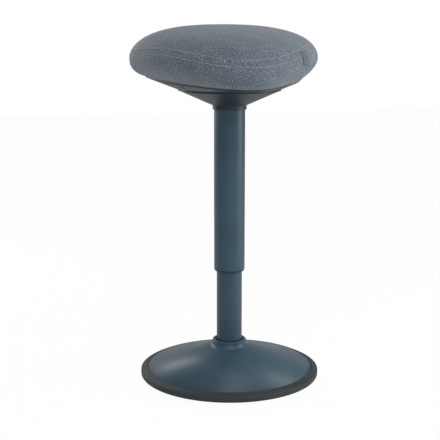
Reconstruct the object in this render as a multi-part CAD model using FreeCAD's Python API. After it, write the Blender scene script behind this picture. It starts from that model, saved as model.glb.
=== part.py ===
import FreeCAD, Part
import math
import os

# A wobble stool: a rocking base, a telescoping gas-spring column that swivels,
# and a three-lobed upholstered seat with a release ring under it.
# Frame: the floor is z = 0, the column stands on Z, one seat lobe (the nose)
# points to -Y. Lengths are in millimetres, angles in degrees.

V = FreeCAD.Vector
ORIGIN = V(0, 0, 0)
UP = V(0, 0, 1)
ALONG_X = V(1, 0, 0)
ALONG_Y = V(0, 1, 0)

# Fits: the gap on each side between two round faces.
run_fit = 0.05
slide_fit = 0.10
seat_gap = 0.30

# Rocking base
flat_r = 50.0
rim_low_r = 172.0
rim_low_z = 12.0
sole_r = 150.0
sole_t = 4.0
plate_t = 2.5
plate_edge_r = 169.0
rim_r = 176.8
rim_h = 17.0
rim_bevel_drop = 3.8
rim_web_r = 158.0
rim_low_edge = 4.0
rim_top_edge = 2.0
dome_t = 2.0
dome_show_r = 165.1
dome_show_z = 28.0
dome_edge_r = 170.5
dome_slope = 17.9
neck_r = 33.2
neck_top_z = 83.0
neck_fillet = 7.0
neck_roll = 5.0
lip_r = 27.0
rim_lip_rise = 0.9
ballast_r = 142.0
ballast_hole_r = 47.0
ballast_top_z = 22.0
base_screw_count = 6
base_screw_circle = 110.0
base_screw_r = 3.0
base_head_r = 5.6
base_screw_grip = 12.0
post_r = 8.0
hub_bolt_count = 4
hub_bolt_circle = 37.0
hub_bolt_r = 4.0
hub_head_r = 7.6
hub_bolt_grip = 5.5
hub_rib_t = 4.0
hub_rib_h = 20.0
button_h = 2.4
sole_hole_gap = 1.5

# Column
tube_r = 25.0
tube_t = 2.0
tube_foot_z = 13.0
tube_top_z = 400.0
taper_len = 45.0
taper_in = 0.8
hub_r = 28.0
hub_flange_r = 45.0
hub_flange_t = 6.0
hub_top_z = 72.0
seal_h = 7.0
foot_plate_z = 17.0
foot_plate_t = 4.0
bush_len = 98.0
bush_flange_t = 2.0
bush_relief = 1.2
bush_land = 16.0

# Swivel bearing and piston rod
rod_r = 5.0
rod_neck_r = 4.0
race_r = 17.0
race_t = 2.0
ball_r = 2.0
ball_count = 12
ball_circle = 11.5
cage_t = 1.6
cage_half = 3.2
bump_r = 15.0
bump_h = 18.0
bump_waist = 2.0
clip_t = 1.8
clip_r = 7.5
clip_groove = 0.8
clip_mouth = 2.6
piston_h = 16.0
piston_ring_r = 1.25
nut_h = 6.0
nut_flats = 13.0
stub_show = 1.0

# Height travel from the height shown, down and up, and the gap left at each stop
travel_down = 138.0
travel_up = 60.0
stop_gap = 2.5

# Seat side of the column, measured from the lower end of the upper tube
shroud_len = 336.0
shroud_r = 30.2
shroud_t = 1.8
bush_lip_h = 2.5
bush_lip_in = 0.7
shroud_bush_h = 30.0
collar_down = 13.0
collar_r = 33.0
collar_h = 8.0
collar_bevel = 0.8
cyl_r = 14.0
cyl_t = 1.5
cyl_below = 4.0
cyl_taper_len = 43.0
cyl_taper_in = 0.9
cyl_crimp = 1.5
cyl_sunk = 4.5
guide_h = 25.0
valve_block_h = 38.0
valve_r = 4.0
valve_len = 29.0
valve_rise = 6.0
small_edge = 0.8
valve_well = 8.0
valve_port_r = 1.5
adapter_h = 18.0

# Under-seat funnel, release ring and its lever
funnel_r = 95.0
funnel_slope = 23.8
funnel_t = 2.5
funnel_rim_h = 0.8
funnel_neck_h = 8.0
funnel_rib_h = 20.0
funnel_post_r = 6.0
funnel_post_circle = 62.0
funnel_screw_r = 1.5
funnel_screw_head_r = 3.0
funnel_screw_head_h = 2.1
funnel_screw_grip = 10.0
ring_out = 4.5
ring_in = 4.5
ring_h = 7.5
ring_skirt = 1.8
ring_lift = 4.0
spoke_w = 9.0
spoke_h = 4.0
spoke_count = 3
ring_sleeve_t = 5.5
ring_sleeve_h = 11.5
socket_r = 18.0
socket_drop = 48.0
mount_half = 62.0
mount_corner = 12.0
mount_t = 3.0
mount_window = 11.0
mount_bolt_half = 48.0
mount_bolt_r = 3.0
bolt_head_r = 5.2
bolt_head_h = 4.0
lever_w = 8.0
lever_t = 3.2
lever_reach = 56.0
lever_foot = 6.0
lever_nub_r = 2.0
pivot_x = 24.0
pivot_up = 4.2
pivot_r = 2.0
pivot_boss_r = 3.8
ear_t = 2.5
ear_foot = 5.0
pin_spare = 1.0
spacer_r = 9.0
tee_flange_r = 9.0
tee_flange_t = 1.2
tee_barrel_r = 4.0
tee_barrel_h = 8.4

# Seat
seat_pitch = 3.9
seat_room = 10.0
lobe_reach = 204.0
flank_in = 27.0
lobe_centre = 103.0
low_lobe_in = 33.0
low_flank_in = 43.0
low_lobe_r_in = 39.0
wide_h = 40.0
crown_h = 65.0
crown_plan_power = 2.6
crown_rise_power = 2.1
cover_t = 2.0
seam_h = 61.0
board_t = 12.0
pan_gap = 2.0
pan_above = 1.425
pan_lip_h = 3.5
pan_t = 3.0
pan_rib_t = 2.5
pan_rib_count = 12
pan_screw_count = 6
pan_screw_r = 2.0
pan_screw_in = 8.0
pan_screw_out = 16.5
pan_screw_turn = 30.0
pan_head_r = 4.0
pan_head_h = 2.2
pan_seat_h = 6.0
pan_boss_r = 6.5
tag_angle = -45.0
tag_w = 28.0
tag_h = 24.0
tag_above_seam = 10.0
tag_t = 1.2

# Places that follow from the sizes above
ball_centre_z = (rim_low_r ** 2 + rim_low_z ** 2 - flat_r ** 2) / (2 * rim_low_z)
rock_radius = math.hypot(flat_r, ball_centre_z)
dome_fall = math.tan(math.radians(dome_slope))
dome_drop = dome_t / math.cos(math.radians(dome_slope))
plate_top_z = sole_t + plate_t
bore_r = tube_r - tube_t
lower_race_z = foot_plate_z + foot_plate_t
ball_z = lower_race_z + race_t + ball_r
upper_race_z = ball_z + ball_r + run_fit
rod_shoulder_z = upper_race_z + race_t
cyl_bore_r = cyl_r - cyl_t
shroud_z = neck_top_z + bush_lip_h + travel_down + stop_gap
shroud_top_z = shroud_z + shroud_len
cyl_low_z = shroud_z - cyl_below
piston_z = cyl_low_z + cyl_crimp + guide_h + travel_up + stop_gap
collar_top_z = shroud_top_z - collar_down
funnel_rise = math.tan(math.radians(funnel_slope))
funnel_wall = funnel_t / math.cos(math.radians(funnel_slope))
funnel_rim_z = collar_top_z + (funnel_r - funnel_t - collar_r) * funnel_rise + funnel_wall + funnel_rim_h
spoke_z = funnel_rim_z + seat_gap
spoke_top_z = spoke_z + spoke_h
mount_z = spoke_top_z + ring_lift + pin_spare
mount_top_z = mount_z + mount_t
cyl_top_z = mount_z - cyl_sunk
valve_top_z = cyl_top_z + valve_rise
seat_z = mount_top_z + seat_room
ring_r = funnel_r + ring_out
ring_in_r = funnel_r - ring_in
pan_low_r = ring_r + pan_gap
pan_low_z = spoke_z + pan_above
pan_screw_circle = pan_low_r + pan_screw_out
flank_reach = lobe_reach - flank_in
lobe_r = lobe_reach - lobe_centre
low_lobe_reach = lobe_reach - low_lobe_in
low_flank_reach = flank_reach - low_flank_in
low_lobe_r = lobe_r - low_lobe_r_in


def save(name, shape):
    """Write one sub-part."""
    shape.exportStep("parts/" + name + ".step")


def cylinder(radius, low, high, x=0.0, y=0.0):
    return Part.makeCylinder(radius, high - low, V(x, y, low), UP)


def cone_bar(radius_low, radius_high, low, high, x=0.0, y=0.0):
    return Part.makeCone(radius_low, radius_high, high - low, V(x, y, low), UP)


def sleeve(outer, inner, low, high):
    """A straight ring about the column."""
    return cylinder(outer, low, high).cut(cylinder(inner, low, high))


def box(x0, x1, y0, y1, z0, z1):
    return Part.makeBox(x1 - x0, y1 - y0, z1 - z0, V(x0, y0, z0))


def wire_face(start, steps):
    """Face of an outline of (r, z) points in the XZ plane; four numbers are an arc's middle and end."""
    edges = []
    here = V(start[0], 0, start[1])
    for step in list(steps) + [start]:
        end = V(step[-2], 0, step[-1])
        if len(step) == 4:
            edges.append(Part.Arc(here, V(step[0], 0, step[1]), end).toShape())
        else:
            edges.append(Part.LineSegment(here, end).toShape())
        here = end
    return Part.Face(Part.Wire(edges))


def lathe(start, *steps):
    """Turn an outline about the column."""
    return wire_face(start, steps).revolve(ORIGIN, UP, 360)


def fin(thickness, start, *steps):
    """A flat plate of an outline in the XZ plane, centred on that plane."""
    plate = wire_face(start, steps).extrude(V(0, thickness, 0))
    plate.translate(V(0, -thickness / 2, 0))
    return plate


def turned(shape, angle):
    """A copy turned about the column."""
    copy = shape.copy()
    copy.rotate(ORIGIN, UP, angle)
    return copy


def around(shape, count, start=0.0):
    """Equal copies round the column, as the separate solids of one group."""
    return Part.makeCompound([turned(shape, start + k * 360.0 / count) for k in range(count)])


# Rocking base


def rock_z(r, lift=0.0):
    """Height of the rocking surface, or of a layer this far above it."""
    if r <= flat_r:
        return lift
    return lift + ball_centre_z - math.sqrt(rock_radius ** 2 - r ** 2)


def rock_arc(r_from, r_to, lift=0.0):
    """Middle and end of the rocking surface's arc between two radii."""
    middle = (r_from + r_to) / 2
    return middle, rock_z(middle, lift), r_to, rock_z(r_to, lift)


def dome_z(r):
    """Top of the painted cone."""
    return dome_show_z + (dome_show_r - r) * dome_fall


def button_screw(shank_r, head_r, seat, high, x):
    """A button-head screw pointing up, its head under the seat height."""
    head = cylinder(head_r, seat - button_h, seat, x)
    return head.fuse(cylinder(shank_r, seat, high, x)).removeSplitter()


def base_screws():
    """Screws up through plate and ballast into the posts."""
    seat = rock_z(base_screw_circle - base_head_r, sole_t)
    high = ballast_top_z + base_screw_grip
    return around(button_screw(base_screw_r, base_head_r, seat, high, base_screw_circle), base_screw_count)


def base_screw_holes(gap, high):
    return around(cylinder(base_screw_r + gap, 0, high, base_screw_circle), base_screw_count)


def hub_bolts():
    """Bolts up through the plate into the hub's flange."""
    bolt = button_screw(hub_bolt_r, hub_head_r, sole_t, plate_top_z + hub_bolt_grip, hub_bolt_circle)
    return around(bolt, hub_bolt_count, 45.0)


def hub_bolt_holes(gap, high):
    return around(cylinder(hub_bolt_r + gap, 0, high, hub_bolt_circle), hub_bolt_count, 45.0)


def rocker_sole():
    """Rubber pad with the flat patch and the ball-shaped tread, with screw openings."""
    pad = lathe((0, 0), (flat_r, 0), rock_arc(flat_r, sole_r), (sole_r, rock_z(sole_r, sole_t)),
                rock_arc(sole_r, flat_r, sole_t), (0, sole_t))
    screw_hole = cylinder(base_head_r + sole_hole_gap, 0, plate_top_z * 2, base_screw_circle)
    bolt_hole = cylinder(hub_head_r + sole_hole_gap, -1, plate_top_z, hub_bolt_circle)
    pad = pad.cut(around(screw_hole, base_screw_count))
    return pad.cut(around(bolt_hole, hub_bolt_count, 45.0))


def rocker_plate():
    """Dished steel plate that carries the sole."""
    edge = plate_edge_r
    plate = lathe((0, sole_t), (flat_r, sole_t), rock_arc(flat_r, edge, sole_t),
                  (edge, rock_z(edge, plate_top_z)), rock_arc(edge, flat_r, plate_top_z),
                  (0, plate_top_z))
    return plate.cut(base_screw_holes(slide_fit, dome_show_z)).cut(hub_bolt_holes(slide_fit, dome_show_z))


def ballast_disc():
    """Cast weight that lies in the dish."""
    weight = lathe((ballast_hole_r, plate_top_z), (flat_r, plate_top_z),
                   rock_arc(flat_r, ballast_r, plate_top_z), (ballast_r, ballast_top_z),
                   (ballast_hole_r, ballast_top_z))
    return weight.cut(base_screw_holes(seat_gap, dome_show_z))


def rim_ring():
    """Rubber ring that grips the edges of dome and plate."""
    top = dome_z(dome_show_r) + rim_lip_rise
    side = rim_low_z + rim_h - rim_bevel_drop - rim_lip_rise
    inner = sole_r + seat_gap
    return lathe((inner, rock_z(inner)), rock_arc(inner, rim_low_r),
                 (rim_r - 0.3 * rim_low_edge, rim_low_z + 0.25 * rim_low_edge,
                  rim_r, rim_low_z + rim_low_edge),
                 (rim_r, side - rim_top_edge),
                 (rim_r - 0.3 * rim_top_edge, side - 0.3 * rim_top_edge, rim_r - rim_top_edge, side),
                 (dome_show_r, top), (dome_show_r, dome_z(dome_show_r)),
                 (dome_edge_r, dome_z(dome_edge_r)), (dome_edge_r, dome_z(dome_edge_r) - dome_drop),
                 (rim_web_r, dome_z(rim_web_r) - dome_drop), (rim_web_r, rock_z(rim_web_r, plate_top_z)),
                 rock_arc(rim_web_r, plate_edge_r, plate_top_z),
                 (plate_edge_r, rock_z(plate_edge_r, sole_t)), rock_arc(plate_edge_r, inner, sole_t))


def base_dome():
    """Spun steel cone with a fillet into an upright neck and a rolled-in lip."""
    lean = math.radians(dome_slope)
    fillet_r = neck_r + neck_fillet
    fillet_z = dome_z(fillet_r) + neck_fillet / math.cos(lean)

    def fillet_point(angle, radius):
        return fillet_r - radius * math.sin(angle), fillet_z - radius * math.cos(angle)

    thin = neck_fillet + dome_t
    foot_outer = fillet_point(lean, neck_fillet)
    foot_inner = fillet_point(lean, thin)
    bend = (lean + math.pi / 2) / 2
    bend_outer = fillet_point(bend, neck_fillet)
    bend_inner = fillet_point(bend, thin)
    roll_r = neck_r - neck_roll
    roll_z = neck_top_z - neck_roll
    diagonal = math.sqrt(0.5)
    inner_roll = neck_roll - dome_t
    return lathe((dome_edge_r, dome_z(dome_edge_r)), foot_outer, bend_outer + (neck_r, fillet_z),
                 (neck_r, roll_z),
                 (roll_r + neck_roll * diagonal, roll_z + neck_roll * diagonal, roll_r, neck_top_z),
                 (lip_r, neck_top_z), (lip_r, neck_top_z - dome_t), (roll_r, neck_top_z - dome_t),
                 (roll_r + inner_roll * diagonal, roll_z + inner_roll * diagonal,
                  neck_r - dome_t, roll_z),
                 (neck_r - dome_t, fillet_z), bend_inner + foot_inner,
                 (dome_edge_r, dome_z(dome_edge_r) - dome_drop))


def dome_posts():
    """Threaded posts between the ballast and the underside of the dome."""
    inner = base_screw_circle - 2 * post_r
    outer = base_screw_circle + 2 * post_r
    above = lathe((inner, dome_z(inner) - dome_drop), (outer, dome_z(outer) - dome_drop),
                  (outer, neck_top_z), (inner, neck_top_z))
    post = cylinder(post_r, ballast_top_z, neck_top_z, base_screw_circle).cut(above)
    high = ballast_top_z + base_screw_grip + 1
    return around(post, base_screw_count).cut(base_screw_holes(run_fit, high))


def column_hub():
    """Flanged steel socket with a tapered bore and four ribs."""
    foot_r = tube_r - taper_in + run_fit
    flange_top = plate_top_z + hub_flange_t
    body = lathe((foot_r, plate_top_z), (hub_flange_r, plate_top_z), (hub_flange_r, flange_top),
                 (hub_r, flange_top), (hub_r, hub_top_z), (tube_r + run_fit, hub_top_z),
                 (tube_r + run_fit, tube_foot_z + taper_len), (foot_r, tube_foot_z))
    rib = fin(hub_rib_t, (hub_r - 1, flange_top), (hub_flange_r - 2, flange_top),
              (hub_r - 1, flange_top + hub_rib_h))
    for k in range(hub_bolt_count):
        body = body.fuse(turned(rib, k * 360.0 / hub_bolt_count))
    return body.cut(hub_bolt_holes(run_fit, flange_top))


def tube_seal():
    return sleeve(neck_r - dome_t - seat_gap, tube_r + slide_fit, hub_top_z, hub_top_z + seal_h)


def standing_tube():
    """Lower tube of the column, tapered to grip the socket."""
    knee = tube_foot_z + taper_len
    foot_r = tube_r - taper_in
    return lathe((foot_r, tube_foot_z), (tube_r, knee), (tube_r, tube_top_z), (bore_r, tube_top_z),
                 (bore_r, knee), (foot_r - tube_t, tube_foot_z))


def foot_plate():
    rim = tube_r - taper_in - tube_t + taper_in * (foot_plate_z - tube_foot_z) / taper_len
    return sleeve(rim, rod_neck_r + slide_fit, foot_plate_z, foot_plate_z + foot_plate_t)


def guide_bush():
    """Long plastic bush in the standing tube, relieved between two lands."""
    outer = bore_r - run_fit
    inner = cyl_r + run_fit
    low = tube_top_z - bush_len
    high = tube_top_z + bush_flange_t
    flange = tube_r - run_fit
    waist = outer - bush_relief
    return lathe((inner, low), (outer, low), (outer, low + bush_land), (waist, low + bush_land),
                 (waist, tube_top_z - bush_land), (outer, tube_top_z - bush_land),
                 (outer, tube_top_z), (flange, tube_top_z), (flange, high), (inner, high))


# Swivel bearing


def lower_race():
    return sleeve(race_r, rod_neck_r + slide_fit, lower_race_z, lower_race_z + race_t)


def bearing_balls():
    ball = Part.makeSphere(ball_r, V(ball_circle, 0, ball_z))
    return around(ball, ball_count)


def ball_cage():
    low = ball_z - cage_t / 2
    ring = sleeve(ball_circle + cage_half, ball_circle - cage_half, low, low + cage_t)
    pocket = cylinder(ball_r + slide_fit, ball_z - cage_t, ball_z + cage_t, ball_circle)
    return ring.cut(around(pocket, ball_count))


# Piston rod, which turns in the standing tube with the seat


def upper_race():
    return sleeve(race_r, rod_neck_r + run_fit, upper_race_z, rod_shoulder_z)


def bump_stop():
    """Rubber buffer, slightly waisted."""
    inner = rod_r + run_fit
    high = rod_shoulder_z + bump_h
    return lathe((inner, rod_shoulder_z), (bump_r, rod_shoulder_z),
                 (bump_r - bump_waist, rod_shoulder_z + bump_h / 2, bump_r, high), (inner, high))


def piston_rod():
    """Rod with a neck and a clip groove below and a stub for the piston above."""
    clip_z = foot_plate_z - clip_t - slide_fit
    groove = rod_neck_r - clip_groove
    foot = tube_foot_z + slide_fit
    stub = piston_z + piston_h + nut_h + stub_show
    return lathe((0, foot), (rod_neck_r, foot), (rod_neck_r, clip_z), (groove, clip_z),
                 (groove, clip_z + clip_t), (rod_neck_r, clip_z + clip_t), (rod_neck_r, rod_shoulder_z),
                 (rod_r, rod_shoulder_z), (rod_r, piston_z), (rod_neck_r, piston_z), (rod_neck_r, stub),
                 (0, stub))


def rod_clip():
    """Open spring clip under the foot plate."""
    low = foot_plate_z - clip_t - slide_fit
    inner = rod_neck_r - clip_groove + run_fit
    clip = sleeve(clip_r, inner, low, low + clip_t)
    return clip.cut(box(0, clip_r + 1, -clip_mouth, clip_mouth, low, low + clip_t))


def piston():
    rim = cyl_bore_r - run_fit
    hole = rod_neck_r + run_fit
    middle = piston_z + piston_h / 2
    groove_half = piston_ring_r + run_fit
    floor = rim - 2 * piston_ring_r
    return lathe((hole, piston_z), (rim, piston_z), (rim, middle - groove_half),
                 (floor, middle - groove_half), (floor, middle + groove_half),
                 (rim, middle + groove_half), (rim, piston_z + piston_h), (hole, piston_z + piston_h))


def piston_ring():
    """Round rubber seal in the piston's groove."""
    centre = cyl_bore_r - run_fit - piston_ring_r
    return Part.makeTorus(centre, piston_ring_r, V(0, 0, piston_z + piston_h / 2))


def piston_nut():
    low = piston_z + piston_h
    corner = nut_flats / 2 / math.cos(math.radians(30))
    turns = [k * math.pi / 3 for k in range(7)]
    corners = [V(corner * math.cos(turn), corner * math.sin(turn), low) for turn in turns]
    hexagon = Part.Face(Part.makePolygon(corners)).extrude(V(0, 0, nut_h))
    return hexagon.cut(cylinder(rod_neck_r + run_fit, low, low + nut_h))


# Gas cylinder and upper tube, which slide on the rod


def gas_cylinder():
    """Pressure tube: crimped in under the rod guide, tapered where it seats in the socket."""
    knee = cyl_top_z - cyl_taper_len
    crimp_r = cyl_bore_r - cyl_crimp
    inside_z = cyl_low_z + cyl_crimp
    return lathe((crimp_r, cyl_low_z), (cyl_r, cyl_low_z), (cyl_r, knee),
                 (cyl_r - cyl_taper_in, cyl_top_z), (cyl_bore_r - cyl_taper_in, cyl_top_z),
                 (cyl_bore_r, knee), (cyl_bore_r, inside_z), (crimp_r, inside_z))


def rod_guide():
    low = cyl_low_z + cyl_crimp
    return sleeve(cyl_bore_r - run_fit, rod_r + run_fit, low, low + guide_h)


def valve_low_z():
    return valve_top_z - valve_len


def valve_block():
    """Plug in the top of the cylinder with the valve's bore and a port below it."""
    low = cyl_top_z - valve_block_h
    knee_r = cyl_bore_r - cyl_taper_in * (cyl_taper_len - valve_block_h) / cyl_taper_len
    plug = cone_bar(knee_r - run_fit, cyl_bore_r - cyl_taper_in - run_fit, low, cyl_top_z)
    well = cylinder(valve_r + run_fit, valve_low_z() - valve_well, cyl_top_z)
    return plug.cut(well).cut(cylinder(valve_port_r, low, cyl_top_z))


def valve_pin():
    """Button that frees the height lock when it is pushed down."""
    return lathe((0, valve_low_z()), (valve_r, valve_low_z()), (valve_r, valve_top_z - small_edge),
                 (valve_r - small_edge, valve_top_z), (0, valve_top_z))


def shroud_tube():
    """Upper tube of the column, its lower edge turned round."""
    edge = shroud_t / 2
    inner = shroud_r - shroud_t
    return lathe((inner, shroud_z), (shroud_r - edge, shroud_z),
                 (shroud_r - 0.3 * edge, shroud_z + 0.3 * edge, shroud_r, shroud_z + edge),
                 (shroud_r, shroud_top_z), (inner, shroud_top_z))


def shroud_bush():
    """Plastic liner that rides on the standing tube and shows as a lip."""
    inner = tube_r + slide_fit
    liner = shroud_r - shroud_t - run_fit
    lip = shroud_r - bush_lip_in
    low = shroud_z - bush_lip_h
    return lathe((inner, low), (lip, low), (lip, shroud_z), (liner, shroud_z),
                 (liner, shroud_z + shroud_bush_h), (inner, shroud_z + shroud_bush_h))


def shroud_adapter():
    return sleeve(shroud_r - shroud_t - run_fit, socket_r + run_fit, shroud_top_z - adapter_h, shroud_top_z)


def hub_collar():
    inner = shroud_r + run_fit
    low = collar_top_z - collar_h
    return lathe((inner, low), (collar_r - collar_bevel, low), (collar_r, low + collar_bevel),
                 (collar_r, collar_top_z), (inner, collar_top_z))


# Funnel, release ring and the lever to the valve


def funnel_z(r):
    """Underside of the funnel's cone."""
    return collar_top_z + (r - collar_r) * funnel_rise


def hub_funnel():
    """Moulded cone on the collar, with three screw posts tied to its neck by ribs."""
    neck_in = shroud_r + run_fit
    neck_out = neck_in + funnel_t
    inner_rim = funnel_r - funnel_t
    shell = lathe((neck_in, collar_top_z), (collar_r, collar_top_z), (funnel_r, funnel_z(funnel_r)),
                  (funnel_r, funnel_rim_z), (inner_rim, funnel_rim_z),
                  (inner_rim, funnel_z(inner_rim) + funnel_wall),
                  (neck_out, funnel_z(neck_out) + funnel_wall), (neck_out, collar_top_z + funnel_neck_h),
                  (neck_in, collar_top_z + funnel_neck_h))
    outside = lathe((collar_r, collar_top_z), (funnel_r, funnel_z(funnel_r)), (funnel_r, shroud_z),
                    (collar_r, shroud_z))
    post = cylinder(funnel_post_r, collar_top_z, mount_z, funnel_post_circle)
    rib = box(neck_out - 1, funnel_post_circle, -funnel_t / 2, funnel_t / 2, collar_top_z,
              collar_top_z + funnel_rib_h)
    hole = cylinder(funnel_screw_r, mount_z - funnel_screw_grip - 2, mount_z, funnel_post_circle)
    stay = post.fuse(rib).cut(outside).cut(hole)
    for k in range(spoke_count):
        shell = shell.fuse(turned(stay, (k + 0.5) * 360.0 / spoke_count))
    return shell


def funnel_screws():
    """Screws down through the seat mount into the funnel's posts."""
    screw = cylinder(funnel_screw_r, mount_z - funnel_screw_grip, mount_top_z, funnel_post_circle)
    head_z = mount_top_z + funnel_screw_head_h
    head = cylinder(funnel_screw_head_r, mount_top_z, head_z, funnel_post_circle)
    return around(screw.fuse(head).removeSplitter(), spoke_count, 180.0 / spoke_count)


def release_ring():
    """Band to lift with the fingers, on three spokes from a sleeve round the socket."""
    skirt_in = funnel_r + 2 * seat_gap
    low = spoke_z - ring_skirt
    high = low + ring_h
    band = lathe((skirt_in, low), (ring_r - small_edge, low), (ring_r, low + small_edge),
                 (ring_r, high - small_edge), (ring_r - small_edge, high),
                 (ring_in_r, high), (ring_in_r, spoke_z), (skirt_in, spoke_z))
    bore = socket_r + slide_fit
    middle = sleeve(bore + ring_sleeve_t, bore, spoke_top_z - ring_sleeve_h, spoke_top_z)
    spoke = box(bore + ring_sleeve_t / 2, ring_in_r + 1, -spoke_w / 2, spoke_w / 2, spoke_z, spoke_top_z)
    ring = band.fuse(middle)
    for k in range(spoke_count):
        ring = ring.fuse(turned(spoke, k * 360.0 / spoke_count))
    return ring


def seat_mount():
    """Steel plate with a tapered socket for the gas cylinder and a slot for the lever's foot."""
    low = mount_z - socket_drop
    knee = cyl_top_z - cyl_taper_len
    bore = cyl_r + run_fit
    top_r = bore - cyl_taper_in
    plate = box(-mount_half, mount_half, -mount_half, mount_half, mount_z, mount_top_z)
    upright = [e for e in plate.Edges if abs(e.BoundBox.ZLength - mount_t) < 0.01]
    plate = plate.makeFillet(mount_corner, upright)
    socket = cylinder(socket_r, low, mount_z)
    body = plate.fuse(socket)
    body = body.cut(cylinder(bore, low, knee)).cut(cone_bar(bore, top_r, knee, cyl_top_z))
    body = body.cut(cylinder(mount_window, cyl_top_z, mount_top_z))
    body = body.cut(box(0, pivot_x - pivot_r, -lever_w / 2 - pin_spare, lever_w / 2 + pin_spare,
                        mount_z, mount_top_z))
    slot_half = lever_foot / 2 + 2 * pin_spare
    body = body.cut(box(lever_reach - slot_half, lever_reach + slot_half, -slot_half, slot_half,
                        mount_z, mount_top_z))
    body = body.cut(bolt_pattern(slide_fit))
    hole = cylinder(funnel_screw_r + slide_fit, mount_z, mount_top_z, funnel_post_circle)
    return body.cut(around(hole, spoke_count, 180.0 / spoke_count))


def pivot_z():
    return mount_top_z + pivot_up


def valve_rocker():
    """Rocking lever: the ring lifts its foot, its nub pushes the valve down."""
    low = mount_top_z + pin_spare / 2
    high = low + lever_t
    half = lever_w / 2
    foot_half = lever_foot / 2
    strip = box(-2 * lever_nub_r, lever_reach + foot_half, -half, half, low, high)
    nub = cylinder(lever_nub_r, valve_top_z + seat_gap, high)
    foot = box(lever_reach - foot_half, lever_reach + foot_half, -foot_half, foot_half,
               spoke_top_z + seat_gap, high)
    boss = Part.makeCylinder(pivot_boss_r, lever_w, V(pivot_x, -half, pivot_z()), ALONG_Y)
    hole = Part.makeCylinder(pivot_r + slide_fit, lever_w, V(pivot_x, -half, pivot_z()), ALONG_Y)
    return strip.fuse(nub).fuse(foot).fuse(boss).cut(hole)


def pivot_bracket():
    """Two angle ears welded on the mount."""
    near = lever_w / 2 + seat_gap
    width = pivot_boss_r * 2
    ear = box(pivot_x - width / 2, pivot_x + width / 2, near, near + ear_t, mount_top_z, pivot_z())
    ear = ear.fuse(Part.makeCylinder(pivot_boss_r, ear_t, V(pivot_x, near, pivot_z()), ALONG_Y))
    foot = box(pivot_x - width / 2, pivot_x + width / 2, near, near + ear_t + ear_foot,
               mount_top_z, mount_top_z + ear_t / 2)
    hole = Part.makeCylinder(pivot_r + run_fit, ear_t, V(pivot_x, near, pivot_z()), ALONG_Y)
    one = ear.fuse(foot).cut(hole)
    return Part.makeCompound([one, one.mirror(ORIGIN, ALONG_Y)])


def pivot_pin():
    reach = lever_w / 2 + seat_gap + ear_t + pin_spare
    return Part.makeCylinder(pivot_r, 2 * reach, V(pivot_x, -reach, pivot_z()), ALONG_Y)


# Seat, built flat on its board and then pitched forward onto the mount


def on_mount(shape):
    """Place what was built on the plane of the board's underside."""
    copy = shape.copy()
    copy.rotate(ORIGIN, ALONG_X, seat_pitch)
    copy.translate(V(0, 0, seat_z))
    return copy


def board_z(y):
    """Height of the board's underside above a point of the floor."""
    return seat_z + y * math.tan(math.radians(seat_pitch))


def tri_outline(lobe, flank, radius, height):
    """Outline of three lobe arcs and three flank arcs that meet smoothly, one lobe towards -Y."""
    centre = lobe - radius
    near = flank - radius
    back = (near ** 2 - centre ** 2) / (centre - 2 * near)
    side = flank + back
    lean = math.atan2(centre * math.sqrt(0.75), centre / 2 + back)

    def spot(angle, reach, about, around_angle):
        x = about * math.cos(around_angle) + reach * math.cos(angle)
        y = about * math.sin(around_angle) + reach * math.sin(angle)
        return V(x, y, height)

    edges = []
    for k in range(3):
        tip = math.radians(120 * k - 90)
        middle = tip + math.radians(60)
        start = spot(middle - lean, side, -back, middle)
        end = spot(middle + lean, side, -back, middle)
        before = spot(tip - (math.radians(60) - lean), radius, centre, tip)
        edges.append(Part.Arc(before, spot(tip, radius, centre, tip), start).toShape())
        edges.append(Part.Arc(start, spot(middle, side, -back, middle), end).toShape())
    return Part.Wire(edges)


def round_outline(radius, height):
    """A circle split like the lobed outline, so that the two can be joined."""
    edges = []
    for k in range(6):
        turn = [math.radians(60 * k - 120 + step) for step in (0, 30, 60)]
        spots = [V(radius * math.cos(a), radius * math.sin(a), height) for a in turn]
        edges.append(Part.Arc(*spots).toShape())
    return Part.Wire(edges)


def cushion_level(drop, inset):
    """Outline on the drawn-in side: drop is 0 at the widest level and 1 at the board."""
    lobe_draw = (lobe_reach - low_lobe_reach) * (1 - math.sqrt(1 - drop ** 2))
    flank_draw = (flank_reach - low_flank_reach) * drop ** 1.5
    radius = lobe_r + (low_lobe_r - lobe_r) * drop ** 2
    return tri_outline(lobe_reach - lobe_draw - inset, flank_reach - flank_draw - inset, radius - inset,
                       wide_h * (1 - drop))


def crown_level(share, inset):
    """Outline on the crown: share is 1 at the widest level and 0 at the crown's middle."""
    rise = (1 - share ** crown_plan_power) ** (1 / crown_rise_power)
    return tri_outline(share * (lobe_reach - inset), share * (flank_reach - inset),
                       share * (lobe_r - inset), wide_h + (crown_h - inset) * rise)


def cushion_form(inset):
    """The whole cushion, drawn in by an inset."""
    lower = [cushion_level(drop, inset) for drop in (1.0, 0.8, 0.4)]
    upper = [crown_level(share, inset) for share in (1.0, 0.95, 0.86, 0.74, 0.6, 0.45, 0.3, 0.15)]
    return Part.makeLoft(lower + upper, True, False)


def cushion_core(inset):
    """What fills the cover: drawn in, and sunk so that the cover stays open below."""
    core = cushion_form(inset)
    core.translate(V(0, 0, -inset / 2))
    return core


def seat_board():
    gap = cover_t + seat_gap
    outline = tri_outline(low_lobe_reach - gap, low_flank_reach - gap, low_lobe_r - gap, 0)
    board = on_mount(Part.Face(outline).extrude(V(0, 0, board_t)))
    for x, y in bolt_spots():
        top = board_z(y) + board_t
        board = board.cut(cylinder(tee_barrel_r + slide_fit, seat_z - board_t, top + board_t, x, y))
        board = board.cut(cylinder(tee_flange_r + seat_gap, top - tee_flange_t, top + board_t, x, y))
    return board


def cushion_skin():
    """Fabric shell over the cushion, open under the board."""
    return cushion_form(0).cut(cushion_core(cover_t))


def above_seam():
    reach = lobe_reach + cover_t
    return box(-reach, reach, -reach, reach, seam_h, wide_h + crown_h + cover_t)


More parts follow.
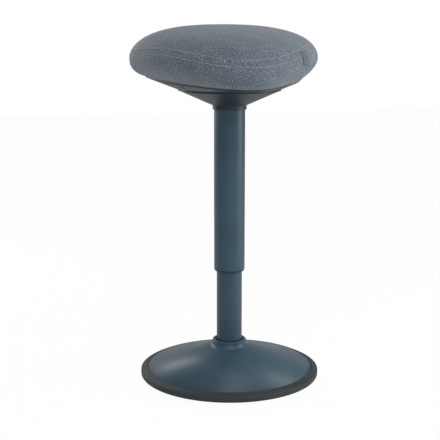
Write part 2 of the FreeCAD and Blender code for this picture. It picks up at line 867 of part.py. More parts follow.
def cushion_foam():
    """Foam that fills the cover and lies on and round the board."""
    reach = lobe_reach + cover_t
    core = cushion_core(cover_t + slide_fit).cut(box(-reach, reach, -reach, reach, -cover_t, slide_fit))
    gap = cover_t
    outline = tri_outline(low_lobe_reach - gap, low_flank_reach - gap, low_lobe_r - gap, -1)
    foam = on_mount(core.cut(Part.Face(outline).extrude(V(0, 0, board_t + 1))))
    for x, y in bolt_spots():
        high = board_z(y) + board_t + 2 * tee_flange_t
        foam = foam.cut(cylinder(tee_flange_r + seat_gap, seat_z, high, x, y))
    return foam


def seam_tag():
    """Small flag that hangs from the seam and lies on the cover."""
    flag = cushion_form(-seat_gap - tag_t).cut(cushion_form(-seat_gap))
    low = seam_h + tag_above_seam - tag_h
    window = box(flank_reach / 2, 2 * lobe_reach, -tag_w / 2, tag_w / 2, low, seam_h + tag_above_seam)
    return on_mount(flag.common(turned(window, tag_angle)))


def bolt_spots():
    sides = (-mount_bolt_half, mount_bolt_half)
    return [(x, y) for x in sides for y in sides]


def bolt_pattern(gap=0.0):
    """Shanks of the four bolts between mount and board, grown by a gap."""
    return Part.makeCompound([cylinder(mount_bolt_r + gap, mount_z, board_z(y) + board_t, x, y)
                              for x, y in bolt_spots()])


def mount_bolts():
    bolts = []
    for x, y in bolt_spots():
        head = cylinder(bolt_head_r, mount_z - bolt_head_h, mount_z, x, y)
        shank = cylinder(mount_bolt_r, mount_z, board_z(y) + board_t, x, y)
        bolts.append(head.fuse(shank).removeSplitter())
    return Part.makeCompound(bolts)


def mount_spacers():
    """Sleeves between mount and board, cut to the seat's pitch."""
    reach = mount_half + spacer_r
    above = on_mount(box(-reach, reach, -reach, reach, 0, 3 * board_t))
    spacers = []
    for x, y in bolt_spots():
        sleeve_here = cylinder(spacer_r, mount_top_z, seat_z + board_t, x, y)
        hole = cylinder(mount_bolt_r + slide_fit, mount_top_z, seat_z + board_t, x, y)
        spacers.append(sleeve_here.cut(hole).cut(above))
    return Part.makeCompound(spacers)


def tee_nuts():
    """Threaded inserts let into the top of the board."""
    nuts = []
    for x, y in bolt_spots():
        top = board_z(y) + board_t
        barrel = cylinder(tee_barrel_r, top - tee_barrel_h, top, x, y)
        flange = cylinder(tee_flange_r, top - tee_flange_t, top, x, y)
        hole = cylinder(mount_bolt_r + run_fit, top - board_t, top, x, y)
        nuts.append(barrel.fuse(flange).cut(hole))
    return Part.makeCompound(nuts)


def pan_outline(inset, height):
    """Outline of the pan's upper edge, under the fabric's edge."""
    draw = cover_t + inset
    return tri_outline(low_lobe_reach - draw, low_flank_reach - draw, low_lobe_r - draw, height)


def pan_form(inset, lip_low):
    """Solid between the round opening and the lobed lip, closed at the board."""
    ring = round_outline(pan_low_r, pan_low_z + inset)
    slope = Part.makeLoft([ring, on_mount(pan_outline(inset, lip_low))], True, True)
    lip = on_mount(Part.Face(pan_outline(inset, lip_low)).extrude(V(0, 0, -lip_low)))
    return slope.fuse(lip)


def pan_screw_holes():
    """Counterbores and holes of the pan's screws, square to the board."""
    deep = seat_z - pan_low_z + board_t
    counterbore = cylinder(pan_head_r + seat_gap, -deep, -pan_seat_h, pan_screw_circle)
    hole = cylinder(pan_screw_r + slide_fit, -pan_seat_h, 0, pan_screw_circle)
    return on_mount(around(counterbore.fuse(hole), pan_screw_count, pan_screw_turn))


def seat_pan():
    """Moulded tray under the seat: sloped wall, lip, inner wall, ribs and screw bosses."""
    outside = pan_form(0, -pan_lip_h)
    opening = cylinder(pan_low_r, pan_low_z - 1, seat_z + board_t * 2)
    wall_line = cylinder(pan_low_r + pan_t, pan_low_z - 1, seat_z + board_t * 2)
    pocket = pan_form(pan_t, -pan_lip_h + pan_t / 2).cut(wall_line)
    pan = outside.cut(pocket).cut(opening)
    long = low_lobe_reach
    rib = box(pan_low_r, long, -pan_rib_t / 2, pan_rib_t / 2, pan_low_z - 1, seat_z + board_t * 2)
    boss = cylinder(pan_boss_r, pan_low_z - 1, seat_z + board_t * 2, pan_screw_circle)
    inside = outside.cut(opening)
    for k in range(pan_rib_count):
        pan = pan.fuse(turned(rib, k * 360.0 / pan_rib_count).common(inside))
    for k in range(pan_screw_count):
        pan = pan.fuse(turned(boss, pan_screw_turn + k * 360.0 / pan_screw_count).common(inside))
    return pan.cut(pan_screw_holes())


def pan_screws():
    shank = cylinder(pan_screw_r, -pan_seat_h, pan_screw_in, pan_screw_circle)
    head = cylinder(pan_head_r, -pan_seat_h - pan_head_h, -pan_seat_h, pan_screw_circle)
    return on_mount(around(shank.fuse(head).removeSplitter(), pan_screw_count, pan_screw_turn))


def main():
    os.makedirs("parts", exist_ok=True)
    makers = (rocker_sole, rocker_plate, ballast_disc, rim_ring, base_dome, dome_posts, column_hub,
              tube_seal, standing_tube, foot_plate, guide_bush, lower_race, bearing_balls, ball_cage,
              upper_race, bump_stop, piston_rod, rod_clip, piston, piston_ring, piston_nut,
              gas_cylinder, rod_guide, valve_block, valve_pin, shroud_tube, shroud_bush,
              shroud_adapter, hub_collar, hub_funnel, funnel_screws, release_ring, seat_mount,
              valve_rocker, pivot_bracket, pivot_pin, mount_bolts, mount_spacers, tee_nuts,
              seat_pan, pan_screws, cushion_foam, seam_tag, base_screws, hub_bolts)
    for maker in makers:
        save(maker.__name__, maker())
    board = seat_board().cut(pan_screws())
    save("seat_board", board)
    skin = cushion_skin()
    save("cover_top", on_mount(skin.common(above_seam())))
    save("cover_side", on_mount(skin.cut(above_seam())))


main()
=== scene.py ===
# %% [markdown]
# # Dressing a wobble stool
#
# The stool has been engineered in another program and arrives here as a fixed frame:
# every steel, plastic and rubber piece is already in its place. This lesson gives those
# pieces their finishes, sews the padded seat that the frame only holds as a plain lump,
# and sets up a small photo studio. All lengths in Blender are metres, and Z points up.

# %% Load the frame
import bmesh
import bpy
import math
import random
from mathutils import Matrix, Vector
from mathutils.bvhtree import BVHTree
from mathutils.kdtree import KDTree


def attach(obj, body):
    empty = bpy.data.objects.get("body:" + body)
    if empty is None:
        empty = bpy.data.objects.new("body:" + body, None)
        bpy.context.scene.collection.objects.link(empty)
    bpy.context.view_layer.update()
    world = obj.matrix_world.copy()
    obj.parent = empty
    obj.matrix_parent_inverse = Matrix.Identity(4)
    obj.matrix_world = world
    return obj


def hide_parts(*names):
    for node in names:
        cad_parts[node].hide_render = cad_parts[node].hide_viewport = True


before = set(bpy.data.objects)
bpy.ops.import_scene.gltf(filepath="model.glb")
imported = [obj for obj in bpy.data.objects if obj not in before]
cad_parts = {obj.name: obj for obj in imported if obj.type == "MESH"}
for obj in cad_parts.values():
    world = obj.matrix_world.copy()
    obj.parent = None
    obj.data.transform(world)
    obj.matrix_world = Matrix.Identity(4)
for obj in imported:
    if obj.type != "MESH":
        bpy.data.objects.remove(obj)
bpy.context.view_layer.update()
mm = 0.001
chance = random.Random(7)
print("nodes in the frame:", len(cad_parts))

# %% [markdown]
# ## The camera
#
# A product photographer stood about two metres away with the lens just above the seat, so
# the seat is seen nearly level and the base from about twenty degrees above. A long lens
# (85 mm) keeps the column from leaning. A small downward shift does part of the tilting,
# which keeps upright lines upright, as a view camera does.

# %% Camera
camera_distance = 2.004
camera_height = 0.709
camera_turn = math.radians(-12.71)
look_turn = math.radians(-12.71 + 0.53)
look_down = math.radians(9.68)
lens_in_pixels = 1037.6
picture_width = 440

camera_data = bpy.data.cameras.new("camera")
camera = bpy.data.objects.new("camera", camera_data)
bpy.context.scene.collection.objects.link(camera)
camera.location = (
    camera_distance * math.sin(camera_turn), -camera_distance * math.cos(camera_turn), camera_height)
level_share = math.cos(look_down)
gaze = Vector((-math.sin(look_turn) * level_share, math.cos(look_turn) * level_share, -math.sin(look_down)))
camera.rotation_euler = gaze.to_track_quat("-Z", "Y").to_euler()
camera_data.sensor_width = 36
camera_data.lens = camera_data.sensor_width * lens_in_pixels / picture_width
camera_data.shift_y = -0.05
bpy.context.scene.camera = camera
print("lens in mm:", round(camera_data.lens, 1))

# %% [markdown]
# ## Colours and nodes
#
# Colours are easiest to read as the hex values that a paint chart or a web page gives.
# Those are sRGB, made for screens, while the renderer adds up light, so each one is turned
# to linear by one function. A second small function adds a shader node: plain values go to
# the node's sockets, and a socket of another node is linked instead. The stops of a colour
# ramp are given in order, as a hex colour or as a plain grey level.

# %% Colour and node helpers
def linear(hex_colour):
    channels = []
    for place in (0, 2, 4):
        value = int(hex_colour[place:place + 2], 16) / 255
        channels.append(value / 12.92 if value <= 0.04045 else ((value + 0.055) / 1.055) ** 2.4)
    return (*channels, 1.0)


def add_node(tree, kind, inputs=None, stops=(), **settings):
    node = tree.nodes.new(kind)
    for name, value in settings.items():
        setattr(node, name, value)
    for name, value in (inputs or {}).items():
        if isinstance(value, bpy.types.NodeSocket):
            tree.links.new(value, node.inputs[name])
        else:
            node.inputs[name].default_value = value
    for count, (position, colour) in enumerate(stops):
        elements = node.color_ramp.elements
        element = elements[count] if count < len(elements) else elements.new(position)
        element.position = position
        element.color = linear(colour) if isinstance(colour, str) else (colour, colour, colour, 1)
    return node


def new_material(name):
    material = bpy.data.materials.new(name)
    material.use_nodes = True
    tree = material.node_tree
    return material, tree, tree.nodes["Principled BSDF"]


def connect(tree, shader, **sockets):
    names = {"colour": "Base Color", "roughness": "Roughness", "normal": "Normal"}
    for name, socket in sockets.items():
        tree.links.new(socket, shader.inputs[names[name]])


# %% [markdown]
# ## Powder-coated steel
#
# The spun base and both column tubes are mild steel with a baked powder coat in a dark
# petrol grey. Powder melts and flows but never quite levels: close up it has a fine orange
# peel, with bumps about a millimetre across, that breaks reflections into a satin glow.
# The film is a plastic, so it is not metallic, and its IOR is that of polyester, 1.5.

# %% Powder coat
def make_powder_coat():
    material, tree, shader = new_material("powder_coated_steel_petrol")
    place = add_node(tree, "ShaderNodeTexCoord").outputs["Object"]
    peel = add_node(tree, "ShaderNodeTexNoise", {"Vector": place, "Scale": 900.0, "Detail": 2.0})
    cloud = add_node(tree, "ShaderNodeTexNoise", {"Vector": place, "Scale": 14.0, "Detail": 3.0})
    colour = add_node(tree, "ShaderNodeValToRGB", {"Fac": cloud.outputs["Fac"]}, stops=[
        (0.3, "2B424F"), (0.7, "324B59")]).outputs["Color"]
    gloss = add_node(tree, "ShaderNodeValToRGB", {"Fac": cloud.outputs["Fac"]}, stops=[
        (0.3, 0.38), (0.7, 0.46)]).outputs["Color"]
    bump = add_node(tree, "ShaderNodeBump", {
        "Height": peel.outputs["Fac"], "Strength": 0.16, "Distance": 0.15 * mm})
    connect(tree, shader, colour=colour, roughness=gloss, normal=bump.outputs["Normal"])
    shader.inputs["IOR"].default_value = 1.5
    shader.inputs["Specular IOR Level"].default_value = 0.35
    return material


powder_coat = make_powder_coat()
print("made", powder_coat.name)

# %% [markdown]
# ## Rubber
#
# The tread under the base and the ring round its edge are moulded natural rubber filled
# with carbon black. The mould was bead-blasted, so the skin is matte, and handling leaves
# slightly greyer, duller clouds on it.

# %% Rubber
def make_rubber():
    material, tree, shader = new_material("moulded_rubber_black")
    place = add_node(tree, "ShaderNodeTexCoord").outputs["Object"]
    grain = add_node(tree, "ShaderNodeTexNoise", {"Vector": place, "Scale": 1400.0, "Detail": 3.0})
    dust = add_node(tree, "ShaderNodeTexNoise", {"Vector": place, "Scale": 30.0, "Detail": 4.0})
    colour = add_node(tree, "ShaderNodeValToRGB", {"Fac": dust.outputs["Fac"]}, stops=[
        (0.35, "191E22"), (0.7, "262B30")]).outputs["Color"]
    dull = add_node(tree, "ShaderNodeValToRGB", {"Fac": dust.outputs["Fac"]}, stops=[
        (0.3, 0.58), (0.7, 0.70)]).outputs["Color"]
    bump = add_node(tree, "ShaderNodeBump", {
        "Height": grain.outputs["Fac"], "Strength": 0.25, "Distance": 0.1 * mm})
    connect(tree, shader, colour=colour, roughness=dull, normal=bump.outputs["Normal"])
    shader.inputs["IOR"].default_value = 1.52
    return material


rubber = make_rubber()
print("made", rubber.name)

# %% [markdown]
# ## Moulded plastic
#
# The funnel under the seat, its collar, the release ring and the tray are polypropylene,
# moulded in colour against a spark-eroded tool. That leaves a grain of fine pits some
# 0.8 mm apart, which scatters light and hides scratches.

# %% Polypropylene and acetal
def make_moulded_plastic(name, dark, light, roughness, grain_mm):
    material, tree, shader = new_material(name)
    place = add_node(tree, "ShaderNodeTexCoord").outputs["Object"]
    pits = add_node(tree, "ShaderNodeTexVoronoi", {"Vector": place, "Scale": 1 / (grain_mm * mm)})
    flow = add_node(tree, "ShaderNodeTexNoise", {"Vector": place, "Scale": 22.0, "Detail": 2.0})
    colour = add_node(tree, "ShaderNodeValToRGB", {"Fac": flow.outputs["Fac"]}, stops=[
        (0.35, dark), (0.65, light)]).outputs["Color"]
    gloss = add_node(tree, "ShaderNodeValToRGB", {"Fac": flow.outputs["Fac"]}, stops=[
        (0.3, roughness - 0.04), (0.7, roughness + 0.04)]).outputs["Color"]
    bump = add_node(tree, "ShaderNodeBump", {
        "Height": pits.outputs["Distance"], "Strength": 0.2, "Distance": 0.08 * mm})
    connect(tree, shader, colour=colour, roughness=gloss, normal=bump.outputs["Normal"])
    shader.inputs["IOR"].default_value = 1.49
    shader.inputs["Specular IOR Level"].default_value = 0.4
    return material


polypropylene = make_moulded_plastic("polypropylene_slate", "1B262C", "222F36", 0.48, 0.8)
acetal = make_moulded_plastic("acetal_black", "17191B", "1D2023", 0.35, 1.2)
print("made", polypropylene.name, "and", acetal.name)

# %% [markdown]
# ## Bare metals
#
# Out of sight the stool uses metals as they come: zinc-plated plates and screws, a ground
# and polished piston rod, turned aluminium, and a cast-iron weight with its sand-mould
# skin. A metal's colour is its reflection, so these differ mostly in roughness and bump.

# %% Bare metals
def make_metal(name, dark, light, roughness, grain_scale, bump_strength):
    material, tree, shader = new_material(name)
    place = add_node(tree, "ShaderNodeTexCoord").outputs["Object"]
    grain = add_node(tree, "ShaderNodeTexNoise", {"Vector": place, "Scale": grain_scale, "Detail": 4.0})
    colour = add_node(tree, "ShaderNodeValToRGB", {"Fac": grain.outputs["Fac"]}, stops=[
        (0.3, dark), (0.7, light)]).outputs["Color"]
    gloss = add_node(tree, "ShaderNodeValToRGB", {"Fac": grain.outputs["Fac"]}, stops=[
        (0.3, roughness * 0.8), (0.7, roughness * 1.2)]).outputs["Color"]
    bump = add_node(tree, "ShaderNodeBump", {
        "Height": grain.outputs["Fac"], "Strength": bump_strength, "Distance": 0.1 * mm})
    connect(tree, shader, colour=colour, roughness=gloss, normal=bump.outputs["Normal"])
    shader.inputs["Metallic"].default_value = 1.0
    return material


zinc_plate = make_metal("zinc_plated_steel", "8C9196", "A6ABB0", 0.34, 300.0, 0.05)
ground_steel = make_metal("ground_bright_steel", "B4B8BC", "C6CACD", 0.16, 800.0, 0.02)
turned_aluminium = make_metal("turned_aluminium", "A2A6A9", "B5B9BC", 0.28, 600.0, 0.04)
cast_iron = make_metal("sand_cast_iron", "3E4042", "535557", 0.62, 700.0, 0.5)
print("made four bare metals")

# %% [markdown]
# ## Birch plywood
#
# The seat board is birch ply. Its faces show long grain, drawn as a noise stretched eleven
# times along X, with streaks about 3 mm apart.

# %% Plywood
def make_plywood():
    material, tree, shader = new_material("birch_plywood")
    place = add_node(tree, "ShaderNodeTexCoord").outputs["Object"]
    drawn = add_node(tree, "ShaderNodeMapping", {"Vector": place, "Scale": (8.0, 90.0, 90.0)})
    grain = add_node(tree, "ShaderNodeTexNoise", {
        "Vector": drawn.outputs["Vector"], "Scale": 4.0, "Detail": 5.0})
    colour = add_node(tree, "ShaderNodeValToRGB", {"Fac": grain.outputs["Fac"]}, stops=[
        (0.3, "B8925F"), (0.55, "CDAE80"), (0.75, "DDC49C")]).outputs["Color"]
    bump = add_node(tree, "ShaderNodeBump", {
        "Height": grain.outputs["Fac"], "Strength": 0.2, "Distance": 0.2 * mm})
    connect(tree, shader, colour=colour, normal=bump.outputs["Normal"])
    shader.inputs["Roughness"].default_value = 0.62
    return material


plywood = make_plywood()
print("made", plywood.name)

# %% [markdown]
# ## Wool-blend upholstery cloth
#
# The seat is covered with a mélange cloth: yarns spun from grey, pale and charcoal fibres,
# woven tight. From two metres it reads as mid grey with a fine speckle; close up there are
# over-and-under yarns. Real yarns here are about 0.8 mm apart, finer than a pixel of the
# picture, so the speckle is drawn some 3 mm across and the weave 1.4 mm. The pattern
# lies on the cover's own UV map, which is measured in metres, so it follows each panel.

# %% Upholstery cloth
def make_upholstery_cloth(name, charcoal, grey, pale, fleck):
    material, tree, shader = new_material(name)
    sewn = add_node(tree, "ShaderNodeUVMap", uv_map="panel").outputs["UV"]
    yarn_pitch = 1.4 * mm
    fibre = add_node(tree, "ShaderNodeTexNoise", {
        "Vector": sewn, "Scale": 1 / (3.0 * mm), "Detail": 3.0, "Roughness": 0.7})
    patch = add_node(tree, "ShaderNodeTexNoise", {"Vector": sewn, "Scale": 1 / (28 * mm), "Detail": 3.0})
    mixed = add_node(tree, "ShaderNodeMath", {0: patch.outputs["Fac"], 1: 0.16}, operation="MULTIPLY")
    both = add_node(tree, "ShaderNodeMath", {
        0: fibre.outputs["Fac"], 1: mixed.outputs["Value"]}, operation="ADD")
    colour = add_node(tree, "ShaderNodeValToRGB", {"Fac": both.outputs["Value"]}, stops=[
        (0.42, charcoal), (0.54, grey), (0.64, grey), (0.72, pale), (0.80, fleck)]).outputs["Color"]
    split = add_node(tree, "ShaderNodeSeparateXYZ", {"Vector": sewn})
    yarns = []
    for way in ("X", "Y"):
        angle = add_node(tree, "ShaderNodeMath", {
            0: split.outputs[way], 1: 2 * math.pi / yarn_pitch}, operation="MULTIPLY")
        yarns.append(add_node(tree, "ShaderNodeMath", {0: angle.outputs["Value"]}, operation="SINE"))
    warp, weft = yarns
    cells = add_node(tree, "ShaderNodeMath", {
        0: warp.outputs["Value"], 1: weft.outputs["Value"]}, operation="MULTIPLY")
    height = add_node(tree, "ShaderNodeMath", {
        0: cells.outputs["Value"], 1: fibre.outputs["Fac"]}, operation="ADD")
    bump = add_node(tree, "ShaderNodeBump", {
        "Height": height.outputs["Value"], "Strength": 0.5, "Distance": 0.22 * mm})
    connect(tree, shader, colour=colour, normal=bump.outputs["Normal"])
    shader.inputs["Roughness"].default_value = 0.92
    shader.inputs["Sheen Weight"].default_value = 0.25
    shader.inputs["Sheen Roughness"].default_value = 0.45
    shader.inputs["Specular IOR Level"].default_value = 0.25
    return material


upholstery_cloth = make_upholstery_cloth("wool_blend_melange_cloth", "353E45", "5F6870", "858E96", "A9B0B7")
tag_cloth = make_upholstery_cloth("woven_polyester_tape", "454D55", "525B63", "5E666E", "6A727A")
print("made", upholstery_cloth.name, "and", tag_cloth.name)

# %% [markdown]
# Sewing thread is twisted from bright filaments, so it is smoother and shinier than cloth.
# Its twist makes slanting ridges 0.35 mm apart, drawn here at 2 mm so that they show.

# %% Sewing thread
def make_thread():
    material, tree, shader = new_material("bonded_polyester_thread")
    place = add_node(tree, "ShaderNodeTexCoord").outputs["Object"]
    twist = add_node(tree, "ShaderNodeTexWave", {"Vector": place, "Scale": 1 / (7 * mm), "Distortion": 1.0})
    colour = add_node(tree, "ShaderNodeValToRGB", {"Fac": twist.outputs["Fac"]}, stops=[
        (0.2, "8A9299"), (0.8, "A4ABB1")]).outputs["Color"]
    bump = add_node(tree, "ShaderNodeBump", {
        "Height": twist.outputs["Fac"], "Strength": 0.3, "Distance": 0.1 * mm})
    connect(tree, shader, colour=colour, normal=bump.outputs["Normal"])
    shader.inputs["Roughness"].default_value = 0.5
    return material


thread = make_thread()

# %% [markdown]
# ## Dress the frame
#
# Each node of the frame keeps its shape and gets the finish of what it is made of. The
# list below is the stool's bill of materials.

# %% Give every frame node its finish
finish_of = {
    powder_coat: ["base_dome", "standing_tube", "shroud_tube"],
    rubber: ["rocker_sole", "rim_ring", "tube_seal", "bump_stop", "piston_ring"],
    polypropylene: ["hub_collar", "hub_funnel", "release_ring", "seat_pan"],
    acetal: ["guide_bush", "shroud_bush", "shroud_adapter", "ball_cage", "rod_guide", "mount_spacers"],
    zinc_plate: ["rocker_plate", "column_hub", "dome_posts", "foot_plate", "seat_mount", "pivot_bracket",
                 "valve_rocker", "gas_cylinder", "rod_clip", "base_screws", "hub_bolts", "funnel_screws",
                 "mount_bolts", "tee_nuts", "pan_screws", "piston_nut"],
    ground_steel: ["lower_race", "bearing_balls", "upper_race", "piston_rod", "pivot_pin", "valve_pin"],
    turned_aluminium: ["piston", "valve_block"],
    cast_iron: ["ballast_disc"],
    plywood: ["seat_board"],
}
for material, names in finish_of.items():
    for name in names:
        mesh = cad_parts[name].data
        mesh.materials.clear()
        mesh.materials.append(material)
print("dressed nodes:", sum(len(names) for names in finish_of.values()))

# %% [markdown]
# ## The shape of the seat
#
# From above the seat is a rounded triangle: three lobes and three flatter flanks, each an
# arc that runs smoothly into the next. From the side it leans 3.9 degrees forward, draws
# in towards its board, is widest 40 mm up and crowns 61.5 mm above that. It is measured
# in its own flat frame first, and set on the stool's lean at the end.

# %% Seat outline
seat_lean = math.radians(3.9)
seat_height = 601.07 * mm
lobe_reach = 199 * mm
flank_reach = 172 * mm
lobe_radius = 98 * mm
low_lobe_reach = 171 * mm
low_flank_reach = 134 * mm
low_lobe_radius = 62 * mm
widest_height = 40 * mm
lobe_droop = 13 * mm
crown_height = 61.5 * mm


def outline_reach(angle, lobe, flank, radius):
    """How far the lobed outline is from its centre in one direction."""
    lobe_centre = lobe - radius
    near = flank - radius
    back = (near ** 2 - lobe_centre ** 2) / (lobe_centre - 2 * near)
    flank_radius = flank + back
    half_flank = math.atan2(lobe_centre * math.sqrt(0.75), lobe_centre / 2 + back)
    turn = (math.degrees(angle) + 90) % 120
    from_flank = math.radians(turn - 60)
    reach = -back * math.cos(from_flank) + math.sqrt(flank_radius ** 2 - (back * math.sin(from_flank)) ** 2)
    across = reach * math.sin(from_flank)
    along = reach * math.cos(from_flank) + back
    if abs(math.atan2(across, along)) <= half_flank:
        return reach
    from_lobe = math.radians(turn if turn < 60 else turn - 120)
    aside = lobe_centre * math.sin(from_lobe)
    return lobe_centre * math.cos(from_lobe) + math.sqrt(radius ** 2 - aside ** 2)


def side_reach(angle, drop, inset=0.0):
    """The drawn-in side: drop is 0 at the widest level and 1 at the board."""
    lobe = lobe_reach - (lobe_reach - low_lobe_reach) * (1 - math.sqrt(max(0.0, 1 - drop ** 2)))
    flank = flank_reach - (flank_reach - low_flank_reach) * drop ** 1.5
    radius = lobe_radius + (low_lobe_radius - lobe_radius) * drop ** 2
    return outline_reach(angle, lobe - inset, flank - inset, radius - inset)


def widest_level(angle):
    """The side bulges lower at each lobe, where the foam hangs over the board most."""
    return widest_height - lobe_droop * max(0.0, math.cos(3 * (angle + math.pi / 2)))


def crown_rise(share, angle):
    top = widest_height + crown_height
    return widest_level(angle) + (top - widest_level(angle)) * (1 - share ** 2.8) ** (1 / 2.15)


seam_middle, seam_dip, seam_tilt = 54 * mm, 7.5 * mm, 3 * mm


def seam_height(angle):
    """The top panel's seam dips at each lobe and rises over each flank."""
    dip = seam_dip * math.cos(3 * (angle + math.pi / 2))
    return seam_middle - dip + seam_tilt * math.cos(angle + math.radians(20))


lean_on_stool = Matrix.Translation((0, 0, seat_height)) @ Matrix.Rotation(seat_lean, 4, "X")
flat_again = lean_on_stool.inverted()
lobe_angle = math.radians(30)
seat_width = 2 * math.cos(lobe_angle) * outline_reach(lobe_angle, lobe_reach, flank_reach, lobe_radius)
print("between two lobes' tips, in mm:", round(seat_width / mm))

# %% [markdown]
# ## Cut the cushion's first shape
#
# The cushion starts as one circle of points. The circle is pushed out to the lobed outline,
# then its edge is extruded level by level, each new ring placed on the next outline, like
# stacking hoops. The bottom ring turns in round the board and stops inside it, so that the
# board still shows from below. The hoops are drawn in by 2 mm, to leave the filling room.

# %% Cushion blank
def place_ring(vertices, level):
    for vertex in vertices:
        angle = math.atan2(vertex.co.y, vertex.co.x)
        reach, height = level(angle)
        vertex.co = Vector((reach * math.cos(angle), reach * math.sin(angle), height))


def cushion_levels(shrink):
    levels = [lambda a: (side_reach(a, 1.0, 4 * mm), 6 * mm), lambda a: (side_reach(a, 1.0, 3 * mm), 1 * mm),
              lambda a: (side_reach(a, 1.0, 0.3 * mm), 0.3 * mm)]
    for drop in (0.95, 0.85, 0.7, 0.55, 0.4, 0.2, 0.0):
        levels.append(lambda a, d=drop: (side_reach(a, d, shrink * (1 - d)), widest_level(a) * (1 - d)))
    for share in (0.99, 0.97, 0.94, 0.9, 0.85, 0.78, 0.7, 0.6, 0.5, 0.4, 0.3, 0.2, 0.1):
        levels.append(lambda a, s=share: (
            s * outline_reach(a, lobe_reach - shrink, flank_reach - shrink, lobe_radius - shrink),
            crown_rise(s, a) - shrink))
    return levels


cover_shift = 4.5 * mm


def pull_cover(vertices):
    """Move the hoops sideways, not at the board and by the whole shift from the widest level up.

    The shift has no cause that is known: it is fitted to the seat's outline in the picture.
    """
    for vertex in vertices:
        vertex.co.x -= cover_shift * min(1.0, max(0.0, vertex.co.z / widest_height))


def cushion_blank(shrink):
    bm = bmesh.new()
    bmesh.ops.create_circle(bm, cap_ends=False, segments=180, radius=0.1)
    levels = cushion_levels(shrink)
    place_ring(bm.verts, levels[0])
    edges = list(bm.edges)
    bmesh.ops.contextual_create(bm, geom=edges)
    for level in levels[1:]:
        made = bmesh.ops.extrude_edge_only(bm, edges=edges)["geom"]
        place_ring([g for g in made if isinstance(g, bmesh.types.BMVert)], level)
        edges = [g for g in made if isinstance(g, bmesh.types.BMEdge)]
    bmesh.ops.contextual_create(bm, geom=edges)
    pull_cover(bm.verts)
    bmesh.ops.recalc_face_normals(bm, faces=bm.faces)
    mesh = bpy.data.meshes.new("seat_cushion")
    bm.to_mesh(mesh)
    bm.free()
    cushion = bpy.data.objects.new("seat_cushion", mesh)
    bpy.context.scene.collection.objects.link(cushion)
    return cushion


def apply_modifiers(piece):
    bpy.context.view_layer.update()
    ready = bpy.data.meshes.new_from_object(piece.evaluated_get(bpy.context.evaluated_depsgraph_get()))
    piece.modifiers.clear()
    piece.data = ready


shrink_before_filling = 2.0 * mm
cushion = cushion_blank(shrink_before_filling)
print("blank made with", len(cushion.data.vertices), "points")

# %% [markdown]
# ## Fill it
#
# An upholsterer pulls the cover over foam, and the foam pushes back: the panels bulge
# between the lines where they are held. Blender's cloth does the same with air pressure.
# The blank is remeshed into even squares, the cloth is held round the board and tugged
# along the seam, and twenty frames of pressure fill it. No point may travel more than
# 6 mm, so the seat keeps the size of its frame. Here it is far less: the cover is stiff and
# already cut to its form, so the filling moves it by half a millimetre at most.

# %% Even squares
def remesh_evenly(piece, size):
    remesh = piece.modifiers.new("even_squares", "REMESH")
    remesh.mode = "VOXEL"
    remesh.voxel_size = size
    apply_modifiers(piece)


remesh_evenly(cushion, 4.5 * mm)
print("even points:", len(cushion.data.vertices))

# %% Swell with cloth
most_swelling = 6 * mm
held_below = 9 * mm
tug_reach, tug_share = 4 * mm, 0.6


def hold_weight(point):
    """Points round the board are held fast, and those along the seam are tugged back."""
    if point.z < held_below:
        return 1.0
    from_seam = abs(point.z - seam_height(math.atan2(point.y, point.x)))
    return tug_share if from_seam < tug_reach else 0.0


def swell(piece):
    held = piece.vertex_groups.new(name="held")
    before = [vertex.co.copy() for vertex in piece.data.vertices]
    for vertex in piece.data.vertices:
        held.add([vertex.index], hold_weight(vertex.co), "REPLACE")
    cloth = piece.modifiers.new("filling", "CLOTH")
    cloth.settings.quality = 6
    cloth.settings.mass = 0.4
    cloth.settings.tension_stiffness = 40
    cloth.settings.compression_stiffness = 40
    cloth.settings.shear_stiffness = 20
    cloth.settings.bending_stiffness = 8
    cloth.settings.use_pressure = True
    cloth.settings.uniform_pressure_force = 4
    cloth.settings.vertex_group_mass = "held"
    cloth.settings.effector_weights.gravity = 0
    cloth.collision_settings.use_collision = False
    for step in range(1, 21):
        bpy.context.scene.frame_set(step)
    bpy.context.view_layer.update()
    swollen = piece.evaluated_get(bpy.context.evaluated_depsgraph_get()).data
    after = [vertex.co.copy() for vertex in swollen.vertices]
    piece.modifiers.clear()
    piece.vertex_groups.clear()
    bpy.context.scene.frame_set(1)
    most = 0.0
    for vertex, old, new in zip(piece.data.vertices, before, after):
        move = new - old
        most = max(most, move.length)
        if move.length > most_swelling:
            move *= most_swelling / move.length
        vertex.co = old + move
    return most


print("the cloth moved at most, in mm:", round(swell(cushion) * 1000, 1))

# %% [markdown]
# ## Draw in the seam
#
# The top panel is sewn to the side panel by a seam that is then top-stitched on both
# sides: the allowance is folded away from the seam and sewn flat. So there is a sharp
# crease on the seam itself, two low pillows beside it where the folded cloth lies, and a
# thin dent along each row of stitches, 6.5 mm away. Points near the seam are divided
# until they are about a millimetre apart, and then each is pushed in or out by how far
# from the seam it lies.

# %% Smooth and divide
stitch_offset = 6.5 * mm
divided_near, shaped_near = 11 * mm, 12 * mm


def seam_points(tree, count):
    """Points where the seam lies on the cushion, found by looking outwards from its middle."""
    points = []
    for k in range(count):
        angle = 2 * math.pi * k / count
        start = Vector((0, 0, seam_height(angle)))
        spot = tree.ray_cast(start, Vector((math.cos(angle), math.sin(angle), 0)))[0]
        points.append(spot)
    return points


def tree_of(points):
    tree = KDTree(len(points))
    for index, point in enumerate(points):
        tree.insert(point, index)
    tree.balance()
    return tree


